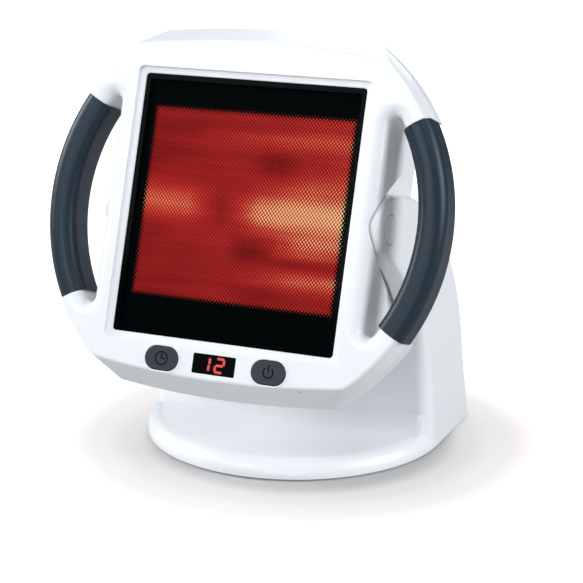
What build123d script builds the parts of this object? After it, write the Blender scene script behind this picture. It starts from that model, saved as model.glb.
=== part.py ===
from build123d import *
from math import acos, asin, atan2, cos, hypot, radians, sin, sqrt, tan
import os

# Table-top infrared heat lamp. All sizes are in millimetres.
# Right-handed frame: +Z up, the lamp faces -Y, the mid plane is X = 0, and the origin lies on
# the table under the middle of the lamp's overall box, with the head at its usual tilt.

# Stand
arm_inner = 88.0           # inner faces of the two arms
arm_thickness = 11.74      # at the tilting axis
flank_lean = 3.0           # degrees that each flank leans inwards
foot_top = 14.0
foot_rim_round = 11.0
table_gap = 1.5            # shell edge above the table
shell_wall = 3.0
back_at_table = 72.0       # rear wall behind the reference line, at the table
back_at_arc = 64.0         # the same where the rear curve starts
back_arc_height = 52.0
back_slope = 11.4          # degrees by which the arms still rise where they reach their round ends
column_front = 14.3        # front wall ahead of the reference line
column_corner = 10.0       # upright rounding between front wall and flank
front_arc_height = 38.0    # the front wall turns forward into the arms here
front_arc_radius = 140.0
corner_fade_start = 60.0   # the upright rounding narrows to the arms' edge rounding from here
corner_fade_end = 130.0
flare_radius = 18.0        # hollow blend from the foot up to the front wall
arm_end_radius = 22.3
arm_edge_round = 4.0
saddle_radius = 112.0      # room in which the head's back swings
cross_wall_top = 96.0
cross_wall_round = 30.0

# Tilting axis and head
pivot_ahead = 78.7         # ahead of the stand's reference line
pivot_height = 176.7
rest_tilt = 19.4           # degrees, the usual tilt of the head
glass_ahead = 22.0         # glass face ahead of the tilting axis
head_radius = 143.0
head_half_height = 125.0
side_bevel = 2.5           # the front face is smaller than the rim by this much at the sides
end_bevel = 12.2           # and by this much at the top and bottom
head_crown_drop = 5.0      # the top and bottom edges are bowed by this much
head_crown_half = 80.0
head_corner = 10.0
face_edge_round = 2.0
face_proud = 4.0           # front face ahead of the glass
bevel_depth = 20.0
ring_back = 29.0           # rear face of the rim, behind the glass
arm_in_box = 9.5           # the arms sit this deep in the sides of the head's box
box_half_height = 112.0
box_back = 38.0            # rear edge of the front frame's box, behind the glass
frame_wall = 3.0
box_corner = 25.0
rim_width = 17.5           # rim outside the two hand openings
opening_tip = 4.0
opening_round = 9.0

# Glass and its seat
glass_inset = 8.0          # between the arms' inner faces and the glass that shows
glass_height = 175.5
glass_corner = 2.5
glass_thickness = 4.0
glass_overlap = 3.0
lip_width = 4.4
lip_edge = 0.6
seal_thickness = 1.5
retainer_thickness = 1.2

# Grips
grip_angle = 30.5          # degrees to each side of the mid height
grip_radial = 19.6
grip_depth = 31.0
grip_front = 2.5           # ahead of the glass
grip_round = 8.5
core_radial = 11.0
core_depth = 20.0

# Controls under the glass
control_drop = 102.3       # below the glass centre
button_spacing = 77.4
button_width = 24.4
button_height = 16.0
button_proud = 1.0
button_gap = 0.3
button_travel = 1.0
button_flange = 1.0
lip_ring = 1.0
lip_ring_proud = 0.5
display_width = 30.8
display_height = 13.3
display_shift = -0.7
window_thickness = 1.5

# Pivot hardware
bolt_radius = 5.0
bush_radius = 7.0
bush_running_gap = 0.05
bolt_head_radius = 8.5
bolt_head = 3.0
cap_radius = 9.9
cap_thickness = 1.8
cap_proud = 0.3
pocket_gap = 2.2           # between the arm's round end and its pocket in the head
pocket_spread = 33.4       # degrees by which the pocket widens above and below
side_gap = 0.6             # between the arm's inner face and the head
washer_thickness = 1.2

# Rear housing
housing_back = 99.0        # rear face behind the glass
housing_gap = 1.0          # between the arms' inner faces and the housing's front edge
housing_taper = 1.5        # from that edge to the rear face, on each side
housing_back_top = 75.0
housing_back_bottom = 72.0
housing_corner = 30.0
housing_wall = 2.5

small_gap = 0.3            # between moving parts that face each other

tilt = radians(rest_tilt)
lean = tan(radians(flank_lean))
foot_radius = arm_inner + arm_thickness + pivot_height * lean
face_radius = head_radius - side_bevel
face_half_height = head_half_height - end_bevel
box_half_width = arm_inner + arm_in_box
opening_outer = head_radius - rim_width
glass_width = 2 * (arm_inner - glass_inset)
housing_front_half = arm_inner - housing_gap
housing_back_half = housing_front_half - housing_taper
front_reach = pivot_ahead + face_half_height * sin(tilt) + (glass_ahead + face_proud) * cos(tilt)
reference_y = (front_reach - back_at_table) / 2
pivot_y = reference_y - pivot_ahead

os.makedirs("parts", exist_ok=True)

# Planes: the stand's side view is (y, z), the head's is (behind the axis, up the head).
side_plane = Plane(origin=(0, reference_y, 0), x_dir=(0, 1, 0), z_dir=(1, 0, 0))
pivot_side = Plane(origin=(0, pivot_y, pivot_height), x_dir=(0, 1, 0), z_dir=(1, 0, 0))
head_side = Plane(origin=(0, pivot_y, pivot_height), x_dir=(0, cos(tilt), -sin(tilt)), z_dir=(1, 0, 0))
axis_plane = Plane(origin=(0, pivot_y, pivot_height), x_dir=(1, 0, 0), z_dir=(0, -cos(tilt), sin(tilt)))


def across_head(depth):
    """Plane across the head, so many mm ahead of the glass face."""
    return axis_plane.offset(glass_ahead + depth)


def turned_in_plane(level, angle):
    """The same plane with its axes turned by an angle in degrees."""
    turn = radians(angle)
    return Plane(origin=level.origin, x_dir=level.x_dir * cos(turn) + level.y_dir * sin(turn),
                 z_dir=level.z_dir)


def stand_level(height):
    """Horizontal plane at a height, centred on the stand's reference line."""
    return Plane((0, reference_y, height))


# ---------------------------------------------------------------- stand
# Rear outline: upright line, big arc, then a straight line that touches the round arm end.
touch_angle = radians(90 - back_slope)
back_rise = (pivot_height - back_arc_height) * sin(touch_angle)
back_run = (pivot_ahead + back_at_arc) * cos(touch_angle)
back_arc_radius = (arm_end_radius + back_rise - back_run) / (1 - cos(touch_angle))
arc_centre_y = back_at_arc - back_arc_radius
touch_back = (arc_centre_y + back_arc_radius * cos(touch_angle),
              back_arc_height + back_arc_radius * sin(touch_angle))
touch_end = (-pivot_ahead + arm_end_radius * cos(touch_angle),
             pivot_height + arm_end_radius * sin(touch_angle))
back_arc_mid = (arc_centre_y + back_arc_radius * cos(touch_angle / 2),
                back_arc_height + back_arc_radius * sin(touch_angle / 2))

# Front outline: upright wall, then an arc that sweeps forward to the arm end.
front_arc_y = -column_front - front_arc_radius
from_pivot = (front_arc_y + pivot_ahead, front_arc_height - pivot_height)
centre_span = hypot(*from_pivot)
corner_cos = (centre_span**2 + arm_end_radius**2 - front_arc_radius**2) / (2 * centre_span * arm_end_radius)
corner_angle = atan2(from_pivot[1], from_pivot[0]) - acos(corner_cos)
arm_corner = (-pivot_ahead + arm_end_radius * cos(corner_angle),
              pivot_height + arm_end_radius * sin(corner_angle))
corner_lift = atan2(arm_corner[1] - front_arc_height, arm_corner[0] - front_arc_y)
front_arc_mid = (front_arc_y + front_arc_radius * cos(corner_lift / 2),
                 front_arc_height + front_arc_radius * sin(corner_lift / 2))


def flank_at(height):
    """Half width of the stand at a height."""
    return foot_radius - height * lean


def front_at(height):
    """Front wall of the stand at a height, ahead of the reference line."""
    rise = max(0.0, height - front_arc_height)
    return -(front_arc_y + sqrt(front_arc_radius**2 - rise**2))


corner_spare = 4.0


def outside_corner(height):
    """Plan of the space outside the upright corner on the +X side, at a height."""
    share = max(0.0, height - corner_fade_start) / (corner_fade_end - corner_fade_start)
    radius = column_corner - (column_corner - arm_edge_round) * share
    flank = flank_at(height)
    front = -front_at(height)
    with BuildSketch(stand_level(height)) as plan:
        with BuildLine():
            Line((flank - radius, front), (flank - radius, front - corner_spare))
            Line((flank - radius, front - corner_spare), (flank + corner_spare, front - corner_spare))
            Line((flank + corner_spare, front - corner_spare), (flank + corner_spare, front + radius))
            Line((flank + corner_spare, front + radius), (flank, front + radius))
            RadiusArc((flank, front + radius), (flank - radius, front), radius)
        make_face()
    return plan.sketch


corner_steps = 8
corner_rise = (corner_fade_end - front_arc_height) / corner_steps
corner_levels = [0] + [front_arc_height + corner_rise * step for step in range(corner_steps + 1)]
with BuildPart() as right_corner:
    for lower, upper in zip(corner_levels, corner_levels[1:]):
        loft([outside_corner(lower), outside_corner(upper)], ruled=True)

# Hollow blend from the foot up to the front wall and round its corners
flare_sink = 4.0           # the blend starts this deep in the foot
flare_rim = 5.0            # it keeps this far inside the foot's edge
flare_depth = 2 * (column_corner + flare_radius) + 10
with BuildPart() as flare:
    for step in range(7):
        turn = radians(13 * step)
        height = foot_top - flare_sink + (flare_radius + flare_sink) * (1 - cos(turn))
        grow = flare_radius * (1 - sin(turn))
        with BuildSketch(stand_level(height)):
            with Locations((0, flare_depth / 2 - column_front - grow)):
                RectangleRounded(2 * (flank_at(height) + grow), flare_depth, column_corner + grow)
    loft()
    with BuildSketch(stand_level(0)):
        Circle(foot_radius - flare_rim)
    extrude(amount=2 * flare_radius + foot_top, mode=Mode.INTERSECT)

# Round foot with a soft rim; its rear half is the column.
with BuildPart() as round_foot:
    with BuildSketch(stand_level(table_gap)):
        Circle(foot_radius)
    extrude(amount=foot_top - table_gap)
    fillet(round_foot.faces().sort_by(Axis.Z)[-1].edges(), foot_rim_round)
    with BuildSketch(stand_level(0)):
        with Locations((0, foot_radius)):
            Rectangle(3 * foot_radius, 2 * foot_radius)
    extrude(amount=2 * foot_top, mode=Mode.SUBTRACT)


def inside_foot(gap):
    """Plan of the hollow foot, less a gap all round."""
    half = foot_hollow - gap
    back = back_at_table - 2 * shell_wall - gap
    with BuildSketch() as plan:
        Circle(half)
        with Locations((0, half)):
            Rectangle(2 * half, 2 * half, mode=Mode.SUBTRACT)
        with Locations((0, back / 2)):
            Rectangle(2 * half, back)
    return plan.sketch


foot_hollow = foot_radius - foot_rim_round + 2
screw_radius = 1.5
boss_radius = 4.5
boss_top = 24.0
plate_thickness = 2.0
boss_side = foot_radius - 12
boss_front = (foot_radius - 22) * sin(radians(45))
boss_rear = back_at_arc - 9
boss_spots = ((boss_front, -boss_front), (-boss_front, -boss_front), (boss_side, 2), (-boss_side, 2),
              (boss_side, boss_rear), (-boss_side, boss_rear))
cavity_top = cross_wall_top - shell_wall
cavity_half = flank_at(cavity_top) - shell_wall
inner_front = column_front - shell_wall
saddle_skin = saddle_radius + shell_wall
saddle_meets_top = -pivot_ahead + sqrt(saddle_skin**2 - (pivot_height - cavity_top)**2)
saddle_meets_front = pivot_height - sqrt(saddle_skin**2 - (pivot_ahead - inner_front)**2)
front_turn = asin((pivot_ahead - inner_front) / saddle_skin)
top_turn = acos((pivot_height - cavity_top) / saddle_skin)
saddle_turn = (front_turn + top_turn) / 2
saddle_low = (-pivot_ahead + saddle_skin * sin(saddle_turn), pivot_height - saddle_skin * cos(saddle_turn))
inner_arc = back_arc_radius - shell_wall
inner_arc_top = arc_centre_y + sqrt(inner_arc**2 - (cavity_top - back_arc_height)**2)
inner_arc_half = (cavity_top - back_arc_height) / 2
inner_arc_mid = arc_centre_y + sqrt(inner_arc**2 - inner_arc_half**2)

# Pivot stack, from the arm's inner face outwards
bush_length = 4.5
counterbore = arm_inner + bush_length
bolt_head_inner = counterbore + washer_thickness + small_gap
pocket_floor = arm_inner - side_gap
cap_seat = Plane(origin=(flank_at(pivot_height), pivot_y, pivot_height), x_dir=(0, 1, 0),
                 z_dir=(cos(radians(flank_lean)), 0, sin(radians(flank_lean))))

# Inlet for the mains lead, low in the sloping rear wall
inlet_height = 22.0
inlet_radius = 5.0
inlet_flange = 8.0
inlet_hole = 3.2
back_lean = atan2(back_at_table - back_at_arc, back_arc_height - table_gap)
inlet_back = back_at_table - (inlet_height - table_gap) * tan(back_lean)
inlet_plane = Plane(origin=(0, reference_y + inlet_back, inlet_height), x_dir=(1, 0, 0),
                    z_dir=(0, cos(back_lean), sin(back_lean)))

with BuildPart() as column_hollow:
    with BuildSketch(side_plane):
        with BuildLine():
            Line((saddle_meets_top, cavity_top), (inner_arc_top, cavity_top))
            ThreePointArc((inner_arc_top, cavity_top), (inner_arc_mid, back_arc_height + inner_arc_half),
                          (back_at_arc - shell_wall, back_arc_height))
            Polyline((back_at_arc - shell_wall, back_arc_height), (back_at_table - 2 * shell_wall, table_gap),
                     (-inner_front, table_gap), (-inner_front, saddle_meets_front))
            ThreePointArc((-inner_front, saddle_meets_front), saddle_low, (saddle_meets_top, cavity_top))
        make_face()
    extrude(amount=cavity_half, both=True)
    front_corners = column_hollow.edges().filter_by(Axis.Z).sort_by(Axis.Y)[:2]
    fillet(front_corners, column_corner - shell_wall)

with BuildPart() as right_seat:
    with BuildSketch(cap_seat.offset(cap_proud - cap_thickness)):
        Circle(cap_radius)
    extrude(amount=cap_thickness + 2)

with BuildPart() as stand_shell:
    with BuildSketch(side_plane):
        with BuildLine():
            Line((back_at_table, table_gap), (back_at_arc, back_arc_height))
            ThreePointArc((back_at_arc, back_arc_height), back_arc_mid, touch_back)
            Line(touch_back, touch_end)
            ThreePointArc(touch_end, (-pivot_ahead - arm_end_radius, pivot_height), arm_corner)
            ThreePointArc(arm_corner, front_arc_mid, (-column_front, front_arc_height))
            Line((-column_front, front_arc_height), (-column_front, table_gap))
            Line((-column_front, table_gap), (back_at_table, table_gap))
        make_face()
    extrude(amount=foot_radius, both=True)
    # leaning flanks with a rounded edge
    with BuildSketch(Plane(origin=(0, 0, 0), x_dir=(1, 0, 0), z_dir=(0, -1, 0))):
        for side in (1, -1):
            with BuildLine():
                Polyline((side * foot_radius, 0), (side * 2 * foot_radius, 0),
                         (side * 2 * foot_radius, 2 * pivot_height),
                         (side * flank_at(2 * pivot_height), 2 * pivot_height), close=True)
            make_face()
    extrude(amount=3 * foot_radius, both=True, mode=Mode.SUBTRACT)
    crisp = [e for e in stand_shell.edges()
             if abs(abs(e.center().X) - flank_at(e.center().Z)) < 0.01
             and e.center().Z > table_gap + 1]
    fillet(crisp, arm_edge_round)
    # upright corner rounding, fading out up the arms
    add(right_corner.part, mode=Mode.SUBTRACT)
    add(mirror(right_corner.part, about=Plane.YZ, mode=Mode.PRIVATE), mode=Mode.SUBTRACT)
    add(round_foot.part)
    add(flare.part)
    # room for the head between the arms
    with BuildSketch(pivot_side):
        Circle(saddle_radius)
    extrude(amount=arm_inner, both=True, mode=Mode.SUBTRACT)
    with BuildSketch(Plane(origin=(0, reference_y, cross_wall_top), x_dir=(1, 0, 0), z_dir=(0, -1, 0))):
        with Locations((0, pivot_height)):
            RectangleRounded(2 * arm_inner, 2 * pivot_height, cross_wall_round)
    extrude(amount=2 * back_at_table, both=True, mode=Mode.SUBTRACT)
    # hollow underneath
    extrude(stand_level(0) * inside_foot(0), amount=foot_top - shell_wall, mode=Mode.SUBTRACT)
    add(column_hollow.part, mode=Mode.SUBTRACT)
    # screw bosses for the base plate
    for place in boss_spots:
        with BuildSketch(stand_level(table_gap + plate_thickness)):
            with Locations(place):
                Circle(boss_radius)
        extrude(amount=boss_top if place[1] > -column_front else foot_top - 5)
    with BuildSketch(stand_level(0)):
        with Locations(*boss_spots):
            Circle(screw_radius)
    extrude(amount=foot_top - shell_wall, mode=Mode.SUBTRACT)
    # pivot bore, bolt head recess and cap seat in each arm
    for side in (1, -1):
        for radius, start, end in ((bush_radius, arm_inner - 1, counterbore + 1),
                                   (bolt_head_radius + 2 * small_gap, counterbore, foot_radius)):
            with BuildSketch(pivot_side.offset(side * start)):
                Circle(radius)
            extrude(amount=side * (end - start), mode=Mode.SUBTRACT)
    add(right_seat.part, mode=Mode.SUBTRACT)
    add(mirror(right_seat.part, about=Plane.YZ, mode=Mode.PRIVATE), mode=Mode.SUBTRACT)
    # hole for the mains inlet
    with BuildSketch(inlet_plane.offset(-10)):
        Circle(inlet_radius)
    extrude(amount=20, mode=Mode.SUBTRACT)
stand_shell.part.label = "stand_shell"
export_step(stand_shell.part, "parts/stand_shell.step")

with BuildPart() as base_plate:
    extrude(stand_level(table_gap) * inside_foot(small_gap), amount=plate_thickness)
    with BuildSketch(stand_level(0)):
        with Locations(*boss_spots):
            Circle(screw_radius)
    extrude(amount=foot_top, mode=Mode.SUBTRACT)
    for row in range(5):
        with BuildSketch(stand_level(0)):
            with Locations((0, -24 - 9 * row)):
                SlotOverall(70, 4)
        extrude(amount=foot_top, mode=Mode.SUBTRACT)
base_plate.part.label = "base_plate"
export_step(base_plate.part, "parts/base_plate.step")

with BuildPart() as base_screws:
    with BuildSketch(stand_level(table_gap)):
        with Locations(*boss_spots):
            Circle(screw_radius)
    extrude(amount=foot_top - shell_wall - table_gap)
    with BuildSketch(stand_level(0.3)):
        with Locations(*boss_spots):
            Circle(2 * screw_radius)
    extrude(amount=table_gap - 0.3)
base_screws.part.label = "base_screws"
export_step(base_screws.part, "parts/base_screws.step")

foot_pad_radius = 8.0
pad_spots = ((72, -46), (-72, -46), (82, 40), (-82, 40))
with BuildPart() as rubber_feet:
    with BuildSketch(stand_level(0)):
        with Locations(*pad_spots):
            Circle(foot_pad_radius)
    extrude(amount=table_gap)
rubber_feet.part.label = "rubber_feet"
export_step(rubber_feet.part, "parts/rubber_feet.step")

ballast_size = (150.0, 60.0, 10.0)
ballast_gap = 3.0
with BuildPart() as ballast_weight:
    with BuildSketch(stand_level(table_gap + plate_thickness)):
        with Locations((0, ballast_gap - inner_front + ballast_size[1] / 2)):
            RectangleRounded(ballast_size[0], ballast_size[1], 6)
    extrude(amount=ballast_size[2])
    chamfer(ballast_weight.faces().sort_by(Axis.Z)[-1].edges(), 1)
ballast_weight.part.label = "ballast_weight"
export_step(ballast_weight.part, "parts/ballast_weight.step")

with BuildPart() as mains_inlet:
    with BuildSketch(inlet_plane.offset(-2 * shell_wall)):
        Circle(inlet_radius)
    extrude(amount=2 * shell_wall)
    with BuildSketch(inlet_plane):
        Circle(inlet_flange)
    extrude(amount=1.8)
    fillet(mains_inlet.faces().sort_by(Axis.Y)[-1].edges(), 1)
    with BuildSketch(inlet_plane.offset(-10)):
        Circle(inlet_hole)
    extrude(amount=20, mode=Mode.SUBTRACT)
mains_inlet.part.label = "mains_inlet"
export_step(mains_inlet.part, "parts/mains_inlet.step")


def pivot_rings(outer, inner, start, length):
    """A ring or disc on the tilting axis, once on each side."""
    with BuildPart() as rings:
        for side in (1, -1):
            with BuildSketch(pivot_side.offset(side * start)):
                Circle(outer)
                if inner:
                    Circle(inner, mode=Mode.SUBTRACT)
            extrude(amount=side * length)
    return rings.part


bush_bore = bolt_radius + bush_running_gap
pivot_bushes = pivot_rings(bush_radius, bush_bore, arm_inner, bush_length)
pivot_bushes.label = "pivot_bushes"
export_step(pivot_bushes, "parts/pivot_bushes.step")

pivot_washers = pivot_rings(bolt_head_radius, bush_bore + 0.2, counterbore, washer_thickness)
pivot_washers.label = "pivot_washers"
export_step(pivot_washers, "parts/pivot_washers.step")

with BuildPart() as right_cap:
    with BuildSketch(cap_seat.offset(cap_proud - cap_thickness)):
        Circle(cap_radius)
    extrude(amount=cap_thickness)
    fillet(right_cap.faces().sort_by(Axis.X)[-1].edges(), 0.8)
with BuildPart() as pivot_caps:
    add(right_cap.part)
    add(mirror(right_cap.part, about=Plane.YZ, mode=Mode.PRIVATE))
pivot_caps.part.label = "pivot_caps"
export_step(pivot_caps.part, "parts/pivot_caps.step")


# ---------------------------------------------------------------- front frame of the head
face_level = across_head(face_proud)
glass_level = across_head(0)
head_forward = Axis(glass_level.origin, glass_level.z_dir)
control_y = -control_drop


def head_outline(radius, half_height, corner):
    """Round head with bowed top and bottom edges."""
    crown_radius = (head_crown_half**2 + head_crown_drop**2) / (2 * head_crown_drop)
    wide = radius + 5
    drop = crown_radius - sqrt(crown_radius**2 - wide**2)
    with BuildSketch() as outline:
        with BuildLine():
            ThreePointArc((-wide, half_height - drop), (0, half_height), (wide, half_height - drop))
            Line((wide, half_height - drop), (wide, drop - half_height))
            ThreePointArc((wide, drop - half_height), (0, -half_height), (-wide, drop - half_height))
            Line((-wide, drop - half_height), (-wide, half_height - drop))
        make_face()
        Circle(radius, mode=Mode.INTERSECT)
        fillet(outline.vertices(), corner)
    return outline.sketch


def pivot_recess(grow):
    """Side view of the room for an arm end: round in front, widening to the rear."""
    radius = arm_end_radius + pocket_gap + grow
    spread = radians(pocket_spread)
    start = (-radius * sin(spread), radius * cos(spread))
    end = (2 * radius, start[1] + (2 * radius - start[0]) * tan(spread))
    with BuildSketch(head_side) as recess:
        Circle(radius)
        with BuildLine():
            Polyline(start, end, (end[0], -end[1]), (start[0], -start[1]), close=True)
        make_face()
    return recess.sketch


def rim_bar(middle, half_sweep, radial, depth, front, rounding):
    """Curved bar in the head's rim, round the glass centre."""
    start = turned_in_plane(glass_level, middle - half_sweep)
    section = Plane(origin=start.origin, x_dir=start.x_dir, z_dir=-start.y_dir)
    with BuildPart() as bar:
        with BuildSketch(section):
            with Locations((grip_middle, front - depth / 2)):
                RectangleRounded(radial, depth, rounding)
        revolve(axis=Axis(start.origin, start.z_dir), revolution_arc=2 * half_sweep)
    return bar.part


grip_middle = head_radius - grip_radial / 2
core_front = grip_front - (grip_depth - core_depth) / 2
right_core = rim_bar(0, grip_angle + 1, core_radial, core_depth, core_front, 3)
left_core = rim_bar(180, grip_angle + 1, core_radial, core_depth, core_front, 3)

pocket_reach = 20.0
cavity_front = -3.0
control_pocket_front = 1.0
post_spots = ((78, 96), (-78, 96), (78, -96), (-78, -96))
post_radius = 5.0
retainer_spots = ((64, 96), (-64, 96), (66, -96), (-66, -96))
retainer_boss_radius = 3.5
retainer_front = -glass_thickness - seal_thickness
glass_size = (glass_width + 2 * glass_overlap, glass_height + 2 * glass_overlap)
button_stem = 2.2
housing_front_corner = 22.0
rear_opening_half = housing_front_half - housing_wall
rear_opening_height = box_half_height - housing_wall
housing_screw = 1.75
housing_screw_grip = 16.0
screw_well = 4.0
screw_floor = 4.0
fan_shaft = 2.0
rim_cell_start = 78.0
rim_rib = 2.0
rim_rib_spacing = 34.0
shoulder_thickness = 3.0
inner_circle = head_radius - 7
wedge_start = opening_outer - 20.5
wedge_end = head_radius + 17
wedge_slope = tan(radians(grip_angle))


def at_mouth(point):
    """Whether a point lies on the front edge of a hand opening."""
    local = glass_level.to_local_coords(point)
    on_face = abs(local.Z - face_proud) < 0.01
    return on_face and hypot(local.X, local.Y) < opening_outer + 1.5 and abs(local.X) > box_half_width - 2.5


board_level = -8.0
board_thickness = 1.6
board_size = (122.0, 13.0)
board_middle = -101.5
board_posts = ((-57, board_middle), (57, board_middle))

with BuildPart() as head_hollow:
    with BuildSketch(across_head(cavity_front)):
        RectangleRounded(2 * (box_half_width - frame_wall), 2 * (box_half_height - frame_wall),
                         box_corner - frame_wall)
        Circle(inner_circle, mode=Mode.INTERSECT)
    extrude(amount=-(box_back - shoulder_thickness + cavity_front))
    for side in (1, -1):
        extrude(pivot_recess(frame_wall).moved(Location((side * (pocket_floor - frame_wall), 0, 0))),
                amount=side * pocket_reach, mode=Mode.SUBTRACT)

with BuildPart() as front_frame:
    # bevelled front, straight rim, and the squarer box behind it
    loft([face_level * head_outline(face_radius, face_half_height, head_corner),
          across_head(face_proud - bevel_depth) * head_outline(head_radius, head_half_height, head_corner)])
    extrude(across_head(face_proud - bevel_depth) * head_outline(head_radius, head_half_height, head_corner),
            amount=-(ring_back + face_proud - bevel_depth))
    fillet(front_frame.faces().sort_by(head_forward)[-1].edges(), face_edge_round)
    with BuildSketch(across_head(-box_back)):
        RectangleRounded(2 * box_half_width, 2 * box_half_height, box_corner)
    extrude(amount=box_back - ring_back / 2)
    # hand openings with a deep soft mouth; the rim is left out where the grips go
    for side in (1, -1):
        with BuildSketch(face_level) as opening:
            Circle(opening_outer)
            with Locations((side * (box_half_width + head_radius), 0)):
                Rectangle(2 * head_radius, 2 * head_radius, mode=Mode.INTERSECT)
            fillet(opening.vertices(), opening_tip)
        extrude(amount=-box_back, mode=Mode.SUBTRACT)
        with BuildSketch(face_level):
            with BuildLine():
                Polyline((side * wedge_start, wedge_start * wedge_slope),
                         (side * wedge_end, wedge_end * wedge_slope),
                         (side * wedge_end, -wedge_end * wedge_slope),
                         (side * wedge_start, -wedge_start * wedge_slope), close=True)
            make_face()
        extrude(amount=-box_back, mode=Mode.SUBTRACT)
    fillet([edge for edge in front_frame.edges() if at_mouth(edge.center())], opening_round)
    # window with a sloping lip, glass seat and the hollow behind
    with BuildSketch(glass_level.offset(lip_edge)) as window:
        RectangleRounded(glass_width, glass_height, glass_corner)
    with BuildSketch(face_level) as window_mouth:
        RectangleRounded(glass_width + 2 * lip_width, glass_height + 2 * lip_width, glass_corner + 1)
    loft([window.sketch, window_mouth.sketch], mode=Mode.SUBTRACT)
    extrude(window.sketch, amount=-2 * lip_edge, mode=Mode.SUBTRACT)
    with BuildSketch(glass_level):
        RectangleRounded(glass_size[0], glass_size[1], glass_corner + glass_overlap)
    extrude(amount=cavity_front, mode=Mode.SUBTRACT)
    add(head_hollow.part, mode=Mode.SUBTRACT)
    with BuildSketch(across_head(-box_back)):
        RectangleRounded(2 * rear_opening_half, 2 * rear_opening_height, housing_front_corner - housing_wall)
    extrude(amount=shoulder_thickness, mode=Mode.SUBTRACT)
    for side in (1, -1):
        extrude(pivot_recess(0).moved(Location((side * pocket_floor, 0, 0))), amount=side * pocket_reach,
                mode=Mode.SUBTRACT)
        with BuildSketch(pivot_side.offset(side * (pocket_floor - 2 * frame_wall))):
            Circle(bolt_radius)
        extrude(amount=side * 4 * frame_wall, mode=Mode.SUBTRACT)
    # hollow cells with ribs between them in the top and bottom of the rim
    with BuildSketch(across_head(-ring_back)):
        add(head_outline(head_radius - frame_wall, head_half_height - frame_wall, head_corner - frame_wall))
        RectangleRounded(2 * box_half_width + 2 * frame_wall, 2 * box_half_height, box_corner,
                         mode=Mode.SUBTRACT)
        Rectangle(4 * head_radius, 2 * rim_cell_start, mode=Mode.SUBTRACT)
        for spot in range(-2, 3):
            with Locations((spot * rim_rib_spacing, 0)):
                Rectangle(rim_rib, 4 * head_radius, mode=Mode.SUBTRACT)
    extrude(amount=ring_back - bevel_depth + face_proud - 1, mode=Mode.SUBTRACT)
    # room for the control board, with openings for display and buttons
    with BuildSketch(across_head(control_pocket_front)):
        with Locations((0, -(box_half_height + glass_size[1] / 2 + 2) / 2)):
            Rectangle(board_size[0] + 2, box_half_height - glass_size[1] / 2 - 2)
    extrude(amount=-13, mode=Mode.SUBTRACT)
    for side in (1, -1):
        with BuildSketch(face_level):
            with Locations((side * button_spacing / 2, control_y)):
                SlotOverall(button_width + 2 * button_gap + 2 * lip_ring,
                            button_height + 2 * button_gap + 2 * lip_ring)
        extrude(amount=lip_ring_proud)
        with BuildSketch(face_level.offset(1)):
            with Locations((side * button_spacing / 2, control_y)):
                SlotOverall(button_width + 2 * button_gap, button_height + 2 * button_gap)
        extrude(amount=-6, mode=Mode.SUBTRACT)
    with BuildSketch(face_level):
        with Locations((display_shift, control_y)):
            RectangleRounded(display_width, display_height, 1)
    extrude(amount=-5, mode=Mode.SUBTRACT)
    # posts and bosses behind the front
    for spots, radius, start, end in ((post_spots, post_radius, cavity_front + 1, -box_back),
                                      (retainer_spots, retainer_boss_radius, cavity_front + 1,
                                       retainer_front),
                                      (board_posts, 2.5, control_pocket_front + 1, board_level)):
        with BuildSketch(across_head(start)):
            with Locations(*spots):
                Circle(radius)
        extrude(amount=end - start)
    with BuildSketch(across_head(-box_back)):
        with Locations(*post_spots):
            Circle(housing_screw)
    extrude(amount=housing_screw_grip, mode=Mode.SUBTRACT)
    with BuildSketch(across_head(retainer_front)):
        with Locations(*retainer_spots):
            Circle(screw_radius)
    extrude(amount=-retainer_front - 1, mode=Mode.SUBTRACT)
    # cores that carry the grips
    add(right_core)
    add(left_core)
front_frame.part.label = "front_frame"
export_step(front_frame.part, "parts/front_frame.step")

right_grip_bar = rim_bar(0, grip_angle, grip_radial, grip_depth, grip_front, grip_round)
left_grip_bar = rim_bar(180, grip_angle, grip_radial, grip_depth, grip_front, grip_round)
with BuildPart() as grip_right:
    add(right_grip_bar)
    add(right_core, mode=Mode.SUBTRACT)
grip_right.part.label = "grip_right"
export_step(grip_right.part, "parts/grip_right.step")

with BuildPart() as grip_left:
    add(left_grip_bar)
    add(left_core, mode=Mode.SUBTRACT)
grip_left.part.label = "grip_left"
export_step(grip_left.part, "parts/grip_left.step")


# ---------------------------------------------------------------- glass and heater
with BuildPart() as ceramic_glass:
    with BuildSketch(glass_level):
        RectangleRounded(glass_size[0], glass_size[1], glass_corner + glass_overlap)
    extrude(amount=-glass_thickness)
ceramic_glass.part.label = "ceramic_glass"
export_step(ceramic_glass.part, "parts/ceramic_glass.step")

seal_front = -glass_thickness
with BuildPart() as glass_seal:
    with BuildSketch(across_head(seal_front)):
        RectangleRounded(glass_size[0], glass_size[1], glass_corner + glass_overlap)
        RectangleRounded(glass_size[0] - 10, glass_size[1] - 10, glass_corner, mode=Mode.SUBTRACT)
    extrude(amount=-seal_thickness)
glass_seal.part.label = "glass_seal"
export_step(glass_seal.part, "parts/glass_seal.step")

with BuildPart() as glass_retainer:
    with BuildSketch(across_head(retainer_front)):
        RectangleRounded(glass_size[0], glass_size[1], glass_corner + glass_overlap)
        with Locations(*retainer_spots):
            Circle(retainer_boss_radius + 1)
        for spot in retainer_spots:
            with Locations((spot[0], spot[1] * 0.93)):
                Rectangle(2 * retainer_boss_radius + 2, 12)
        RectangleRounded(glass_size[0] - 12, glass_size[1] - 12, glass_corner, mode=Mode.SUBTRACT)
        with Locations(*retainer_spots):
            Circle(screw_radius, mode=Mode.SUBTRACT)
    extrude(amount=-retainer_thickness)
glass_retainer.part.label = "glass_retainer"
export_step(glass_retainer.part, "parts/glass_retainer.step")

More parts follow.
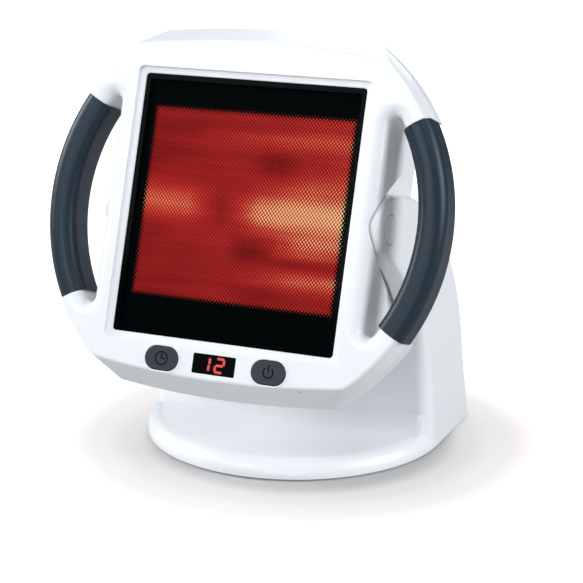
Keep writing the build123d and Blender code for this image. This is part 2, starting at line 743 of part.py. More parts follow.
retainer_rear = retainer_front - retainer_thickness
with BuildPart() as retainer_screws:
    with BuildSketch(across_head(retainer_rear)):
        with Locations(*retainer_spots):
            Circle(screw_radius)
    extrude(amount=-retainer_rear - 1)
    with BuildSketch(across_head(retainer_rear)):
        with Locations(*retainer_spots):
            Circle(2 * screw_radius)
    extrude(amount=-1.6)
retainer_screws.part.label = "retainer_screws"
export_step(retainer_screws.part, "parts/retainer_screws.step")

# Reflector: two troughs across the head, one per heater tube
sheet = 0.8
reflector_half = 78.0
reflector_flange = 82.0
trough_half = 72.0
trough_depth = 29.0
trough_ridge = 8.0
tube_radius = 5.0
tube_depth = -23.0
tube_spots = (trough_half / 2, -trough_half / 2)
holder_length = 5.0


def trough_face(grow):
    """Side view of the two troughs, seen from their open front."""
    front = glass_ahead + retainer_rear
    with BuildSketch(head_side) as troughs:
        with BuildLine():
            Line((-front, trough_half + grow), (-front, -trough_half - grow))
            ThreePointArc((-front, -trough_half - grow), (trough_depth - front + grow, -trough_half / 2),
                          (trough_depth - trough_ridge - front + grow, 0))
            ThreePointArc((trough_depth - trough_ridge - front + grow, 0),
                          (trough_depth - front + grow, trough_half / 2), (-front, trough_half + grow))
        make_face()
    return troughs.sketch


with BuildPart() as reflector:
    extrude(trough_face(sheet), amount=reflector_half, both=True)
    extrude(trough_face(0), amount=reflector_half - sheet, both=True, mode=Mode.SUBTRACT)
    with BuildSketch(across_head(retainer_rear)):
        Rectangle(2 * reflector_flange, 2 * (glass_size[1] / 2 - 4))
        with Locations(*retainer_spots):
            Circle(2 * screw_radius + 0.5, mode=Mode.SUBTRACT)
        Rectangle(2 * (reflector_half - sheet), 2 * trough_half, mode=Mode.SUBTRACT)
    extrude(amount=-sheet)
    for place in tube_spots:
        with BuildSketch(head_side.offset(-2 * reflector_half)):
            with Locations((-glass_ahead - tube_depth, place)):
                Circle(tube_radius)
        extrude(amount=4 * reflector_half, mode=Mode.SUBTRACT)
reflector.part.label = "reflector"
export_step(reflector.part, "parts/reflector.step")


def along_tubes(outer, inner, start, length, both):
    """Round pieces on the two heater axes, across the head."""
    with BuildPart() as rods:
        for side in ((1, -1) if both else (1,)):
            with BuildSketch(head_side.offset(side * start)):
                for place in tube_spots:
                    with Locations((-glass_ahead - tube_depth, place)):
                        Circle(outer)
                        if inner:
                            Circle(inner, mode=Mode.SUBTRACT)
            extrude(amount=side * length)
    return rods.part


heater_tubes = along_tubes(tube_radius, tube_radius - 1, -reflector_flange, 2 * reflector_flange, False)
heater_tubes.label = "heater_tubes"
export_step(heater_tubes, "parts/heater_tubes.step")

filament_radius = 1.4
heater_coils = along_tubes(filament_radius, 0, -reflector_flange, 2 * reflector_flange, False)
heater_coils.label = "heater_coils"
export_step(heater_coils, "parts/heater_coils.step")

coil_sleeves = along_tubes(tube_radius - 1, filament_radius, reflector_flange - 4, 4, True)
coil_sleeves.label = "coil_sleeves"
export_step(coil_sleeves, "parts/coil_sleeves.step")

with BuildPart() as tube_holders:
    for side in (1, -1):
        with BuildSketch(head_side.offset(side * reflector_half)):
            for place in tube_spots:
                with Locations((-glass_ahead - tube_depth, place)):
                    RectangleRounded(14, 16, 2)
                    Circle(tube_radius, mode=Mode.SUBTRACT)
        extrude(amount=side * holder_length)
tube_holders.part.label = "tube_holders"
export_step(tube_holders.part, "parts/tube_holders.step")

shield_half = 80.0
reflector_back = glass_level.to_local_coords(reflector.part).bounding_box().min.Z
with BuildPart() as heat_shield:
    with BuildSketch(across_head(reflector_back)):
        RectangleRounded(2 * shield_half, 2 * trough_half + 10, 8)
        with GridLocations(24, 0, 5, 1):
            SlotOverall(14, 4, mode=Mode.SUBTRACT)
        with GridLocations(24, 124, 5, 2):
            SlotOverall(14, 4, mode=Mode.SUBTRACT)
    extrude(amount=-sheet)
heat_shield.part.label = "heat_shield"
export_step(heat_shield.part, "parts/heat_shield.step")

shield_rear = reflector_back - sheet
with BuildPart() as thermal_cutout:
    with BuildSketch(across_head(shield_rear)):
        with Locations((30, 30)):
            SlotOverall(24, 8)
    extrude(amount=-1)
    with BuildSketch(across_head(shield_rear - 1)):
        with Locations((30, 30)):
            Circle(7.5)
    extrude(amount=-7)
    with BuildSketch(across_head(shield_rear - 8)):
        with Locations((26, 30), (34, 30)):
            Rectangle(0.8, 6)
    extrude(amount=-6)
thermal_cutout.part.label = "thermal_cutout"
export_step(thermal_cutout.part, "parts/thermal_cutout.step")

with BuildPart() as terminal_block:
    with BuildSketch(across_head(shield_rear)):
        with Locations((0, -34)):
            Rectangle(34, 14)
    extrude(amount=-11)
    with BuildSketch(across_head(shield_rear - 11)):
        with GridLocations(8, 0, 4, 1):
            with Locations((0, -34)):
                Circle(2.4)
    extrude(amount=8, mode=Mode.SUBTRACT)
terminal_block.part.label = "terminal_block"
export_step(terminal_block.part, "parts/terminal_block.step")


# ---------------------------------------------------------------- controls
switch_half = 3.0
switch_height = 3.5
with BuildPart() as control_board:
    with BuildSketch(across_head(board_level)):
        with Locations((0, board_middle)):
            Rectangle(board_size[0], board_size[1])
    extrude(amount=-board_thickness)
control_board.part.label = "control_board"
export_step(control_board.part, "parts/control_board.step")

plunger_top = control_pocket_front - small_gap - button_flange - button_stem - button_travel - small_gap
with BuildPart() as tact_switches:
    for side in (1, -1):
        with BuildSketch(across_head(board_level)):
            with Locations((side * button_spacing / 2, control_y)):
                Rectangle(2 * switch_half, 2 * switch_half)
        extrude(amount=plunger_top - board_level - 0.6)
        with BuildSketch(across_head(board_level)):
            with Locations((side * button_spacing / 2, control_y)):
                Circle(1.7)
        extrude(amount=plunger_top - board_level)
tact_switches.part.label = "tact_switches"
export_step(tact_switches.part, "parts/tact_switches.step")

with BuildPart() as display_window:
    with BuildSketch(face_level):
        with Locations((display_shift, control_y)):
            RectangleRounded(display_width, display_height, 1)
    extrude(amount=-window_thickness)
display_window.part.label = "display_window"
export_step(display_window.part, "parts/display_window.step")

with BuildPart() as display_module:
    with BuildSketch(face_level.offset(-window_thickness)):
        with Locations((display_shift, control_y)):
            RectangleRounded(display_width - 1, display_height - 1, 1)
    extrude(amount=board_level - face_proud + window_thickness)
display_module.part.label = "display_module"
export_step(display_module.part, "parts/display_module.step")


def push_button(side):
    """Rocker cap with a flange that keeps it behind the front, and a stem."""
    with BuildPart() as button:
        with BuildSketch(across_head(control_pocket_front - small_gap)):
            with Locations((side * button_spacing / 2, control_y)):
                SlotOverall(button_width, button_height)
        extrude(amount=face_proud + button_proud - control_pocket_front + small_gap)
        fillet(button.faces().sort_by(head_forward)[-1].edges(), 0.8)
        with BuildSketch(across_head(control_pocket_front - small_gap)):
            with Locations((side * button_spacing / 2, control_y)):
                SlotOverall(button_width + 2 * button_flange, button_height + 2 * button_flange)
        extrude(amount=-button_flange)
        with BuildSketch(across_head(control_pocket_front - small_gap - button_flange)):
            with Locations((side * button_spacing / 2, control_y)):
                Circle(3)
        extrude(amount=-button_stem)
    return button.part


timer_button = push_button(-1)
timer_button.label = "timer_button"
export_step(timer_button, "parts/timer_button.step")

power_button = push_button(1)
power_button.label = "power_button"
export_step(power_button, "parts/power_button.step")


# ---------------------------------------------------------------- rear housing and fan
def housing_outline(inset, share):
    """Outline of the housing less an inset; share 0 at its front, 1 at its rear face."""
    half = housing_front_half + (housing_back_half - housing_front_half) * share - inset
    top = box_half_height + (housing_back_top - box_half_height) * share - inset
    bottom = box_half_height + (housing_back_bottom - box_half_height) * share - inset
    corner = housing_front_corner + (housing_corner - housing_front_corner) * share - inset
    with BuildSketch() as outline:
        with Locations((0, (top - bottom) / 2)):
            RectangleRounded(2 * half, top + bottom, corner)
    return outline.sketch


# Tubes for the four long screws, trimmed to the housing's outside
with BuildPart() as screw_tubes:
    with BuildSketch(across_head(-box_back)):
        with Locations(*post_spots):
            Circle(screw_well + 2)
    extrude(amount=-(housing_back - box_back))
    loft([across_head(-box_back) * housing_outline(0, 0), across_head(-housing_back) * housing_outline(0, 1)],
         mode=Mode.INTERSECT)

fan_middle = (0, 3)
fan_half = 30.0
fan_depth = 15.0
fan_bore = 27.5
fan_hub = 9.0
fan_tip_gap = 0.8
fan_front = -housing_back + housing_wall + fan_depth
lip_root = 4.0
with BuildPart() as rear_housing:
    loft([across_head(-box_back) * housing_outline(0, 0), across_head(-housing_back) * housing_outline(0, 1)])
    fillet(rear_housing.faces().sort_by(head_forward)[0].edges(), 5)
    loft([across_head(-box_back) * housing_outline(housing_wall, 0),
          across_head(-housing_back + housing_wall) * housing_outline(housing_wall, 1)], mode=Mode.SUBTRACT)
    # tubes round the four long screws, with a floor under each screw head
    add(screw_tubes.part)
    for level, radius, depth in ((box_back + screw_floor, screw_well, housing_back),
                                 (box_back, housing_screw, 2 * screw_floor)):
        with BuildSketch(across_head(-level)):
            with Locations(*post_spots):
                Circle(radius)
        extrude(amount=-depth, mode=Mode.SUBTRACT)
    # locating lip inside the frame's rear opening
    with BuildSketch(across_head(-box_back - lip_root)):
        RectangleRounded(2 * rear_opening_half, 2 * rear_opening_height, housing_front_corner - housing_wall)
        RectangleRounded(2 * rear_opening_half - 4, 2 * rear_opening_height - 4,
                         housing_front_corner - housing_wall - 2, mode=Mode.SUBTRACT)
        with Locations(*post_spots):
            Circle(post_radius + 0.5, mode=Mode.SUBTRACT)
    extrude(amount=shoulder_thickness + lip_root)
    # grille in front of the fan, and rows of slots above and below
    for row in range(-4, 5):
        chord = 2 * sqrt(fan_bore**2 - (6 * row)**2) - 2
        with BuildSketch(across_head(-housing_back - 1)):
            with Locations((fan_middle[0], fan_middle[1] + 6 * row)):
                SlotOverall(chord, 3)
        extrude(amount=housing_wall + 2, mode=Mode.SUBTRACT)
    for place in (52, -54):
        for row in range(3):
            with BuildSketch(across_head(-housing_back - 1)):
                with Locations((0, place + 6 * row)):
                    SlotOverall(90, 3)
            extrude(amount=housing_wall + 2, mode=Mode.SUBTRACT)
rear_housing.part.label = "rear_housing"
export_step(rear_housing.part, "parts/rear_housing.step")

with BuildPart() as housing_screws:
    with BuildSketch(across_head(-box_back - screw_floor)):
        with Locations(*post_spots):
            Circle(housing_screw)
    extrude(amount=screw_floor + housing_screw_grip)
    with BuildSketch(across_head(-box_back - screw_floor)):
        with Locations(*post_spots):
            Circle(2 * housing_screw)
    extrude(amount=-2)
housing_screws.part.label = "housing_screws"
export_step(housing_screws.part, "parts/housing_screws.step")

with BuildPart() as fan_frame:
    with BuildSketch(across_head(fan_front)):
        with Locations(fan_middle):
            RectangleRounded(2 * fan_half, 2 * fan_half, 4)
            Circle(fan_bore, mode=Mode.SUBTRACT)
    extrude(amount=-fan_depth)
    with BuildSketch(across_head(fan_front)):
        with Locations(fan_middle):
            Circle(fan_hub)
            for turn in range(3):
                with Locations(Location((0, 0, 0), (0, 0, 120 * turn + 30))):
                    with Locations((fan_bore / 2 + 1, 0)):
                        Rectangle(fan_bore, 3)
    extrude(amount=-2)
    with BuildSketch(across_head(fan_front)):
        with Locations(fan_middle):
            Circle(fan_shaft)
    extrude(amount=-fan_depth + 2)
fan_frame.part.label = "fan_frame"
export_step(fan_frame.part, "parts/fan_frame.step")

rotor_front = fan_front - 2 - small_gap
rotor_depth = fan_depth - 2 - 2 * small_gap
blade_count = 7
rotor_plane = across_head(rotor_front)
rotor_plane = Plane(origin=rotor_plane.from_local_coords((fan_middle[0], fan_middle[1], 0)),
                    x_dir=rotor_plane.x_dir, z_dir=rotor_plane.z_dir)
with BuildPart() as fan_rotor:
    with BuildSketch(across_head(rotor_front)):
        with Locations(fan_middle):
            Circle(fan_hub)
            Circle(fan_shaft + bush_running_gap, mode=Mode.SUBTRACT)
    extrude(amount=-rotor_depth + 1)
    with BuildSketch(across_head(rotor_front - rotor_depth + 1)):
        with Locations(fan_middle):
            Circle(fan_hub)
    extrude(amount=-1)
    for blade in range(blade_count):
        turned = turned_in_plane(rotor_plane, 360 * blade / blade_count)
        radial = Plane(origin=turned.origin, x_dir=-turned.z_dir, z_dir=turned.x_dir)
        root = radial.offset(fan_hub - 1)
        tip = radial.offset(fan_bore - fan_tip_gap)
        with BuildSketch(root) as blade_root:
            with Locations((rotor_depth / 2, 0)):
                Rectangle(8.5, 1.2, rotation=35)
        with BuildSketch(tip) as blade_tip:
            with Locations((rotor_depth / 2, 0)):
                Rectangle(8.5, 1.2, rotation=55)
        loft([blade_root.sketch, blade_tip.sketch])
fan_rotor.part.label = "fan_rotor"
export_step(fan_rotor.part, "parts/fan_rotor.step")


# ---------------------------------------------------------------- tilting axis, head side
bracket_inner = pocket_floor - 2 * frame_wall
nut_height = 3.0
pivot_brackets = pivot_rings(12, bolt_radius, bracket_inner, frame_wall)
pivot_brackets.label = "pivot_brackets"
export_step(pivot_brackets, "parts/pivot_brackets.step")

with BuildPart() as pivot_bolts:
    for side in (1, -1):
        with BuildSketch(pivot_side.offset(side * (bracket_inner - nut_height))):
            Circle(bolt_radius)
        extrude(amount=side * (bolt_head_inner - bracket_inner + nut_height))
        with BuildSketch(pivot_side.offset(side * bolt_head_inner)):
            Circle(bolt_head_radius)
            RegularPolygon(3, 6, mode=Mode.SUBTRACT)
        extrude(amount=side * bolt_head)
        with BuildSketch(pivot_side.offset(side * bolt_head_inner)):
            Circle(bolt_radius)
        extrude(amount=side)
pivot_bolts.part.label = "pivot_bolts"
export_step(pivot_bolts.part, "parts/pivot_bolts.step")

with BuildPart() as pivot_nuts:
    for side in (1, -1):
        with BuildSketch(pivot_side.offset(side * (bracket_inner - nut_height))):
            RegularPolygon(8, 6)
            Circle(bolt_radius, mode=Mode.SUBTRACT)
        extrude(amount=side * nut_height)
pivot_nuts.part.label = "pivot_nuts"
export_step(pivot_nuts.part, "parts/pivot_nuts.step")
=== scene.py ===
from math import cos, pi, radians, sin

import bpy
from mathutils import Matrix, Vector


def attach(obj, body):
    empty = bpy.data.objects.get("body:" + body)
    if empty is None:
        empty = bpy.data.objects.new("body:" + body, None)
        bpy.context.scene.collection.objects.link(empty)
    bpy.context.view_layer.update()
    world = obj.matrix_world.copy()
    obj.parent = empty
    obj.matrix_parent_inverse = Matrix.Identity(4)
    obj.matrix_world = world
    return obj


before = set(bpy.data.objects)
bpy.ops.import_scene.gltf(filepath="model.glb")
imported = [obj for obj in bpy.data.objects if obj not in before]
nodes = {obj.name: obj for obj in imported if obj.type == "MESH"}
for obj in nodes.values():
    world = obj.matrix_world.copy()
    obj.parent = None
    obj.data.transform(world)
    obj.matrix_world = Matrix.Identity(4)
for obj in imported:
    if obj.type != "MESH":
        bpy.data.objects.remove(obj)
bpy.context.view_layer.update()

# ---- Camera, table and studio light
# A long lens looks at the lamp from its front right, a little from above. The table is a white
# sweep that glows white for the camera; round the foot the glow fades, which paints shade on top
# of the real shadow. Large soft lights stand on all sides, above and low down, in a dim room.
camera_place = (0.49863, -1.13360, 0.47066)
camera_rise = 16.155
camera_turn = 23.291

bpy.ops.object.select_all(action="DESELECT")
bpy.ops.object.camera_add(location=camera_place,
                          rotation=(radians(90 - camera_rise), 0, radians(camera_turn)))
camera = bpy.context.object
camera.name = "camera"
camera.data.lens = 113.46
camera.data.sensor_width = 36
bpy.context.scene.camera = camera
bpy.context.scene.view_settings.view_transform = "Standard"


def wire(tree, kind, *inputs, **settings):
    """Adds a node, sets it up, feeds its inputs in order and gives back its first output."""
    node = tree.nodes.new(kind)
    for key, value in settings.items():
        setattr(node, key, value)
    sockets = [socket for socket in node.inputs if socket.enabled]
    for socket, value in zip(sockets, inputs):
        if isinstance(value, bpy.types.NodeSocket):
            tree.links.new(value, socket)
        elif value is not None:
            socket.default_value = value
    return next(socket for socket in node.outputs if socket.enabled)


def ramp(tree, value, stops, interpolation="LINEAR"):
    """Turns a number into a colour; each stop is a position and a colour."""
    node = tree.nodes.new("ShaderNodeValToRGB")
    node.color_ramp.interpolation = interpolation
    ends = node.color_ramp.elements
    for end, (position, colour) in ((ends[0], stops[0]), (ends[1], stops[-1])):
        end.position = position
        end.color = (*colour, 1)
    for position, colour in stops[1:-1]:
        ends.new(position).color = (*colour, 1)
    tree.links.new(value, node.inputs[0])
    return node.outputs[0]


def new_paint(name, values):
    """New material, its nodes and its shader, which has the values on its own sockets."""
    paint = bpy.data.materials.new(name)
    paint.use_nodes = True
    shader = paint.node_tree.nodes["Principled BSDF"]
    for socket, value in values.items():
        shader.inputs[socket].default_value = value
    return paint, paint.node_tree, shader


def object_place(tree):
    """Place on the piece, in metres."""
    return tree.nodes.new("ShaderNodeTexCoord").outputs["Object"]


def camera_ray(tree):
    """One where the camera looks straight at the surface."""
    return tree.nodes.new("ShaderNodeLightPath").outputs["Is Camera Ray"]


bpy.ops.mesh.primitive_plane_add(size=12, location=(0, 0, 0))
table = bpy.context.object
table.name = "table_sweep"
table_paint, tree, shader = new_paint("table_paint", {
    "Base Color": (0.40, 0.402, 0.405, 1), "Roughness": 0.85, "Specular IOR Level": 0.2,
    "Emission Color": (1.0, 0.92, 0.88, 1)})
# Painted shade: the camera-only white lift fades towards this point, so the floor darkens round
# the foot on top of its real shadow.
painted_shade_middle = (0.010, 0.018, 0)
lift_and_painted_shade_by_reach = ((0.100, 0.12), (0.118, 0.37), (0.145, 0.48), (0.180, 0.72), (0.230, 1.0))
reach = wire(tree, "ShaderNodeVectorMath", object_place(tree), painted_shade_middle, operation="SUBTRACT")
reach = wire(tree, "ShaderNodeVectorMath", reach, operation="LENGTH")
lift_with_painted_shade = ramp(tree, reach, [(away, (grey, grey, grey)) for away, grey in lift_and_painted_shade_by_reach], "EASE")
tree.links.new(wire(tree, "ShaderNodeMath", lift_with_painted_shade, camera_ray(tree), operation="MULTIPLY"),
               shader.inputs["Emission Strength"])
table.data.materials.append(table_paint)

lamp_middle = Vector((0, 0, 0.15))
for name, place, size, power, tint in (
        ("left_light", (-1.9, -0.3, 1.1), 1.2, 40, (0.985, 0.99, 1.0)),
        ("right_light", (1.9, 0.1, 1.0), 1.2, 32, (0.965, 0.98, 1.0)),
        ("front_light", (-0.7, -1.9, 1.45), 1.2, 18, (0.985, 0.99, 1.0)),
        ("high_light", (0.9, -1.1, 2.2), 1.3, 11, (0.975, 0.985, 1.0)),
        ("back_light", (-0.2, 1.8, 1.3), 1.2, 14, (0.975, 0.985, 1.0)),
        ("low_light", (0.4, -1.7, 0.42), 0.9, 7.0, (0.93, 0.965, 1.0))):
    bpy.ops.object.light_add(type="AREA", location=place)
    light = bpy.context.object
    light.name = name
    light.data.size = size
    light.data.energy = power
    light.data.color = tint
    light.rotation_euler = (lamp_middle - Vector(place)).to_track_quat("-Z", "Y").to_euler()

room = bpy.data.worlds.new("white_room")
bpy.context.scene.world = room
room.use_nodes = True
tree = room.node_tree
tree.nodes.clear()
room_light = wire(tree, "ShaderNodeBackground", (0.64, 0.82, 1.0, 1), 0.14)
white_backdrop = wire(tree, "ShaderNodeBackground", (1, 1, 1, 1), 1.0)
seen = wire(tree, "ShaderNodeMixShader", camera_ray(tree), room_light, white_backdrop)
tree.links.new(seen, tree.nodes.new("ShaderNodeOutputWorld").inputs["Surface"])


# ---- Stand: shell and pivot caps
# Foot, column, arms and saddle are one injection moulding in bright white ABS from a polished
# mould: a soft gloss with a very fine grain. A pressed-in cap closes each arm at the pivot and
# leaves a fine joint line round itself.
def moulded(name, colour, roughness, grain=1500, depth=0.00003, tone=0.03, coat=0.0,
            metallic=0.0, specular=0.5, specular_tint=(1, 1, 1)):
    """Moulded or finished surface: small changes of tone and gloss, and a fine grain."""
    paint, tree, shader = new_paint(name, {
        "Metallic": metallic, "Coat Weight": coat, "Coat Roughness": 0.12,
        "Specular IOR Level": specular, "Specular Tint": (*specular_tint, 1)})
    place = object_place(tree)
    cloud_scale, cloud_low, cloud_high, gloss_swing = 14.0, 0.3, 0.7, 0.08
    cloud = wire(tree, "ShaderNodeTexNoise", place, cloud_scale, 3.0)
    dark = tuple(part * (1 - tone) for part in colour)
    light = tuple(min(1.0, part * (1 + tone)) for part in colour)
    tree.links.new(ramp(tree, cloud, ((cloud_low, dark), (cloud_high, light))),
                   shader.inputs["Base Color"])
    gloss = wire(tree, "ShaderNodeMapRange", cloud, cloud_low, cloud_high,
                 roughness * (1 - gloss_swing), roughness * (1 + gloss_swing))
    tree.links.new(gloss, shader.inputs["Roughness"])
    bump = tree.nodes.new("ShaderNodeBump")
    bump.inputs["Strength"].default_value = 0.35
    bump.inputs["Distance"].default_value = depth
    fine_grain = wire(tree, "ShaderNodeTexNoise", place, grain, 2.0)
    tree.links.new(fine_grain, bump.inputs["Height"])
    tree.links.new(bump.outputs[0], shader.inputs["Normal"])
    return paint


def paint_nodes(paint, *names):
    """Gives a finish to CAD nodes."""
    for name in names:
        mesh = nodes[name].data
        if not mesh.materials:
            mesh.materials.append(paint)
        for slot in nodes[name].material_slots:
            slot.material = paint


white_abs = dict(colour=(0.84, 0.855, 0.87), roughness=0.30, grain=900, depth=0.00001,
                 tone=0.006, coat=0.15)
stand_moulding = moulded("stand_moulding", **white_abs)
paint_nodes(stand_moulding, "stand_shell", "pivot_caps")

pivot_axis = (0, -0.044354, 0.1767)
cap_radius = 0.0099
joint_half = 0.00015
joint_shadow = (0.16, 0.18, 0.20, 1)
tree = stand_moulding.node_tree
base_colour = tree.nodes["Principled BSDF"].inputs["Base Color"]
plain_white = base_colour.links[0].from_socket
away = wire(tree, "ShaderNodeVectorMath", object_place(tree), pivot_axis, operation="SUBTRACT")
away = wire(tree, "ShaderNodeVectorMath", away, (0, 1, 1), operation="MULTIPLY")
away = wire(tree, "ShaderNodeVectorMath", away, operation="LENGTH")
off_joint = wire(tree, "ShaderNodeMath", away, cap_radius, operation="SUBTRACT")
off_joint = wire(tree, "ShaderNodeMath", off_joint, operation="ABSOLUTE")
clear = wire(tree, "ShaderNodeMapRange", off_joint, joint_half, 2 * joint_half, 0.0, 1.0)
tree.links.new(wire(tree, "ShaderNodeMix", clear, joint_shadow, plain_white, data_type="RGBA"),
               base_colour)

# ---- Underside and fasteners of the stand
# A dark plate closes the stand from below, on soft black feet. An iron block weighs it down; the
# inlet in the rear wall is a rubber grommet. The arms turn on brass bushes and steel bolts.
base_plastic = moulded("base_plastic", (0.055, 0.058, 0.062), 0.55, grain=900, depth=0.00010,
                       tone=0.08)
paint_nodes(base_plastic, "base_plate")
black_rubber = moulded("black_rubber", (0.020, 0.020, 0.021), 0.8, grain=700, depth=0.00010,
                       tone=0.15)
paint_nodes(black_rubber, "rubber_feet", "mains_inlet")
cast_iron = moulded("cast_iron", (0.09, 0.09, 0.092), 0.6, grain=350, depth=0.00020, tone=0.20,
                    metallic=0.8)
paint_nodes(cast_iron, "ballast_weight")
brass = moulded("turned_brass", (0.75, 0.55, 0.24), 0.25, grain=1800, tone=0.08, metallic=1.0)
paint_nodes(brass, "pivot_bushes")
steel_sheet = moulded("steel_sheet", (0.55, 0.56, 0.58), 0.30, grain=1800, tone=0.06, metallic=1.0)
paint_nodes(steel_sheet, "pivot_brackets", "pivot_washers", "pivot_bolts", "pivot_nuts")
zinc = moulded("zinc_plate", (0.62, 0.63, 0.65), 0.32, grain=2600, depth=0.00002, tone=0.08,
               metallic=1.0)
paint_nodes(zinc, "base_screws")

# ---- Front frame of the head
# A second white moulding of the same ABS: the bevelled face with the seat for the glass, the
# two hand openings and the box behind. Everything in the head is fixed to it.
white_moulding = moulded("white_moulding", **white_abs)
paint_nodes(white_moulding, "front_frame")

# ---- Grips
# Two curved handles in anthracite, a harder soft-touch plastic with a silky sheen. Each one
# is moulded over the frame's rim bar between the upper and lower corner.
grip_plastic = moulded("grip_plastic", (0.014, 0.025, 0.035), 0.36, grain=1900, depth=0.00004,
                       tone=0.06, specular=0.27, specular_tint=(0.78, 0.90, 1.0))
paint_nodes(grip_plastic, "grip_left", "grip_right")

# ---- Ceramic glass, its seal and retainer, and the screen of painted glow behind it
# The glass is dark and clear, printed black round its edge, and pressed on a black silicone seal
# by a steel frame. A thin screen close behind it carries a painted glow that stands in for the
# light
# of the heater tubes: red emission through a fine staggered mesh, with painted bright and dark
# smears.
tilt = radians(19.4)
glass_face = Vector((0, -0.065105, 0.184008))
head_up = Vector((0, sin(tilt), cos(tilt)))
head_forward = Vector((0, -cos(tilt), sin(tilt)))
head_place = Matrix(((1, 0, 0, 0),
                     (0, head_up.y, head_forward.y, glass_face.y),
                     (0, head_up.z, head_forward.z, glass_face.z),
                     (0, 0, 0, 1)))


def head_coordinates(tree):
    """Across and up the head's front, in metres from the middle of the glass."""
    place = object_place(tree)
    upward = wire(tree, "ShaderNodeVectorMath", place, tuple(head_up), operation="DOT_PRODUCT")
    return (wire(tree, "ShaderNodeSeparateXYZ", place),
            wire(tree, "ShaderNodeMath", upward, head_up.dot(glass_face), operation="SUBTRACT"))


def edge_distance(tree, across, upward, half_width, low, high):
    """Distance inwards from the edge of a rectangle, in metres."""
    from_middle = wire(tree, "ShaderNodeMath", across, operation="ABSOLUTE")
    from_side = wire(tree, "ShaderNodeMath", half_width, from_middle, operation="SUBTRACT")
    from_low = wire(tree, "ShaderNodeMath", upward, low, operation="SUBTRACT")
    from_high = wire(tree, "ShaderNodeMath", high, upward, operation="SUBTRACT")
    nearest = wire(tree, "ShaderNodeMath", from_low, from_high, operation="MINIMUM")
    return wire(tree, "ShaderNodeMath", from_side, nearest, operation="MINIMUM")


window_half_width = 0.0765
window_half_height = 0.0840
print_edge = 0.0002
print_cover, clear_cover = 1.0, 0.04
glass_print, tree, shader = new_paint("glass_print", {
    "Base Color": (0.0008, 0.0022, 0.0022, 1), "Specular IOR Level": 0.02, "Roughness": 0.08})
across, upward = head_coordinates(tree)
inside = edge_distance(tree, across, upward, window_half_width, -window_half_height,
                       window_half_height)
tree.links.new(wire(tree, "ShaderNodeMapRange", inside, -print_edge, print_edge,
                    print_cover, clear_cover), shader.inputs["Alpha"])
paint_nodes(glass_print, "ceramic_glass")

silicone = moulded("silicone", (0.012, 0.012, 0.013), 0.6, grain=600, depth=0.00005, tone=0.06)
paint_nodes(silicone, "glass_seal")
paint_nodes(steel_sheet, "glass_retainer")
paint_nodes(zinc, "retainer_screws")

screen_size = (0.1556, 0.1710, 0.0008)
screen_behind_face = 0.0045
bpy.ops.object.select_all(action="DESELECT")
bpy.ops.mesh.primitive_cube_add(size=1)
screen = bpy.context.object
screen.name = "painted_glow_screen"
bpy.ops.object.mode_set(mode="EDIT")
bpy.ops.transform.resize(value=screen_size)
bpy.ops.object.mode_set(mode="OBJECT")
corner = screen.modifiers.new("corner", "BEVEL")
corner.width = 0.0003
corner.segments = 2
bpy.ops.object.modifier_apply(modifier="corner")
screen.matrix_world = head_place @ Matrix.Translation((0, 0, -screen_behind_face))
bpy.ops.object.transform_apply(location=True, rotation=True, scale=True)

painted_glow, tree, shader = new_paint("painted_glow_mesh", {
    "Base Color": (0.0004, 0.0006, 0.0006, 1), "Specular IOR Level": 0.005, "Roughness": 0.5,
    "Emission Strength": 1.0})
across, upward = head_coordinates(tree)
flat = wire(tree, "ShaderNodeCombineXYZ", across, upward, 0.0)
long_streaks = wire(tree, "ShaderNodeMapping", flat, None, None, (9.0, 150.0, 1.0))
streak = wire(tree, "ShaderNodeTexNoise", long_streaks, 1.0, 3.0, 0.6)
soft_patches = wire(tree, "ShaderNodeMapping", flat, (0.37, 0.21, 0), None, (17.0, 38.0, 1.0))
patch = wire(tree, "ShaderNodeTexNoise", soft_patches, 1.0, 1.0, 0.5)


def painted_smear(middle, width, slope, start, end, fade):
    """One painted smear of glow: bell shaped upwards, fading in and out across."""
    leaning = wire(tree, "ShaderNodeMath", across, slope, -middle, operation="MULTIPLY_ADD")
    offset = wire(tree, "ShaderNodeMath", upward, leaning, operation="ADD")
    scaled = wire(tree, "ShaderNodeMath", offset, 1 / width, operation="MULTIPLY")
    squared = wire(tree, "ShaderNodeMath", scaled, scaled, operation="MULTIPLY")
    falling = wire(tree, "ShaderNodeMath", squared, -1.0, operation="MULTIPLY")
    bell = wire(tree, "ShaderNodeMath", falling, operation="EXPONENT")
    rise = wire(tree, "ShaderNodeMapRange", across, start, start + fade, 0.0, 1.0)
    fall = wire(tree, "ShaderNodeMapRange", across, end - fade, end, 1.0, 0.0)
    run = wire(tree, "ShaderNodeMath", rise, fall, operation="MULTIPLY")
    return wire(tree, "ShaderNodeMath", bell, run, operation="MULTIPLY")


# Painted glow level: brighter towards the right, uneven, with painted smears where the tubes shine
# through.
level_middle = 0.19
level_rise = 0.8
unevenness = 0.22
level = wire(tree, "ShaderNodeMath", across, level_rise, level_middle, operation="MULTIPLY_ADD")
level = wire(tree, "ShaderNodeMath", streak, unevenness, level, operation="MULTIPLY_ADD")
level = wire(tree, "ShaderNodeMath", patch, unevenness, level, operation="MULTIPLY_ADD")
